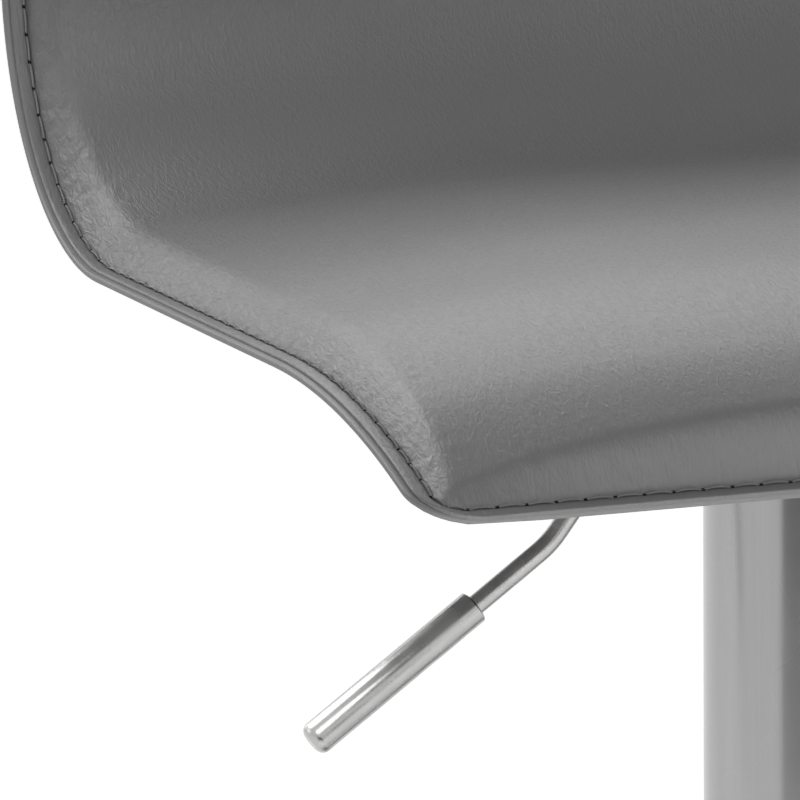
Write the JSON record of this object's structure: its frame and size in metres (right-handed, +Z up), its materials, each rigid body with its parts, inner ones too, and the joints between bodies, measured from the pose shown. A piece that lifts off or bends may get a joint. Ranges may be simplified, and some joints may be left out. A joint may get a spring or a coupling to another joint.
{
  "type": "gas lift swivel stool",
  "caption": "Height-adjustable swivel stool with an upholstered wave-shaped seat and low curled back, release lever, brushed column with cover tube, footrest loop and round trumpet base.",
  "frame": {"origin": "on the floor, on the column's axis", "axes": "+Z up along the column; the sitter faces -Y; the release lever is on -X, at the sitter's right"},
  "size_m": [0.392, 0.3962, 0.714],
  "materials": {
    "upholstery": "satin",
    "underside_cloth": "matte",
    "foam": "matte",
    "plywood": "matte",
    "zinc_fasteners": "satin",
    "black_steel": "satin",
    "bright_steel": "satin",
    "handle_steel": "satin",
    "button_plastic": "satin",
    "cylinder_paint": "satin",
    "valve_alloy": "satin",
    "black_plastic": "satin",
    "nylon": "matte",
    "brushed_steel": "satin",
    "rubber": "matte"
  },
  "bodies": {
    "stand": {"column_tube": "brushed_steel", "guide_sleeve": "nylon", "lower_race": "bright_steel", "bearing_balls": "bright_steel", "clip_washer": "bright_steel", "base_dome": "brushed_steel", "base_socket": "black_steel", "ballast_plate": "black_steel", "ballast_bolts": "zinc_fasteners", "ballast_nuts": "zinc_fasteners", "floor_ring": "rubber", "trim_ring": "black_plastic", "footrest_bar": "brushed_steel", "footrest_collar": "brushed_steel", "collar_screws": "zinc_fasteners"},
    "piston": {"piston_rod": "bright_steel", "upper_race": "bright_steel", "lift_bumper": "rubber", "piston_head": "valve_alloy", "piston_seal": "rubber", "rod_clip": "bright_steel"},
    "seat": {"top_cover": "upholstery", "foam_pad": "foam", "edge_hem": "upholstery", "underside_cover": "underside_cloth", "seat_shell": "plywood", "mounting_board": "plywood", "board_screws": "zinc_fasteners", "threaded_inserts": "zinc_fasteners", "seat_bolts": "zinc_fasteners", "seat_plate": "black_steel", "taper_hub": "black_steel", "lever_bracket": "black_steel", "lever_pivot": "bright_steel", "gas_cylinder": "cylinder_paint", "valve_block": "valve_alloy", "rod_gland": "black_plastic", "cover_collar": "black_plastic", "cover_tube": "brushed_steel", "slide_ring": "black_plastic"},
    "lever": {"lever_rod": "bright_steel", "lever_sleeve": "handle_steel"},
    "button": {"release_button": "button_plastic"}
  },
  "joints": [
    {"name": "seat_swivel", "type": "hinge", "parent": "stand", "child": "piston", "pos_m": [0, 0, 0.05], "axis": [0, 0, 1], "continuous": true},
    {"name": "height_lift", "type": "slide", "parent": "piston", "child": "seat", "axis": [0, 0, 1], "range_m": [0, 0.21]},
    {"name": "lever_lift", "type": "hinge", "parent": "seat", "child": "lever", "pos_m": [-0.03, 0, 0.546], "axis": [0, 1, 0], "range_deg": [0, 6], "stiffness_Nm_per_rad": 1, "springref_deg": -5.73},
    {"name": "button_press", "type": "slide", "parent": "seat", "child": "button", "axis": [0, 0, -1], "range_m": [0, 0.0033]}
  ],
  "couplings": [
    {"joint": "button_press", "follows": "lever_lift", "m_per_rad": 0.03}
  ]
}
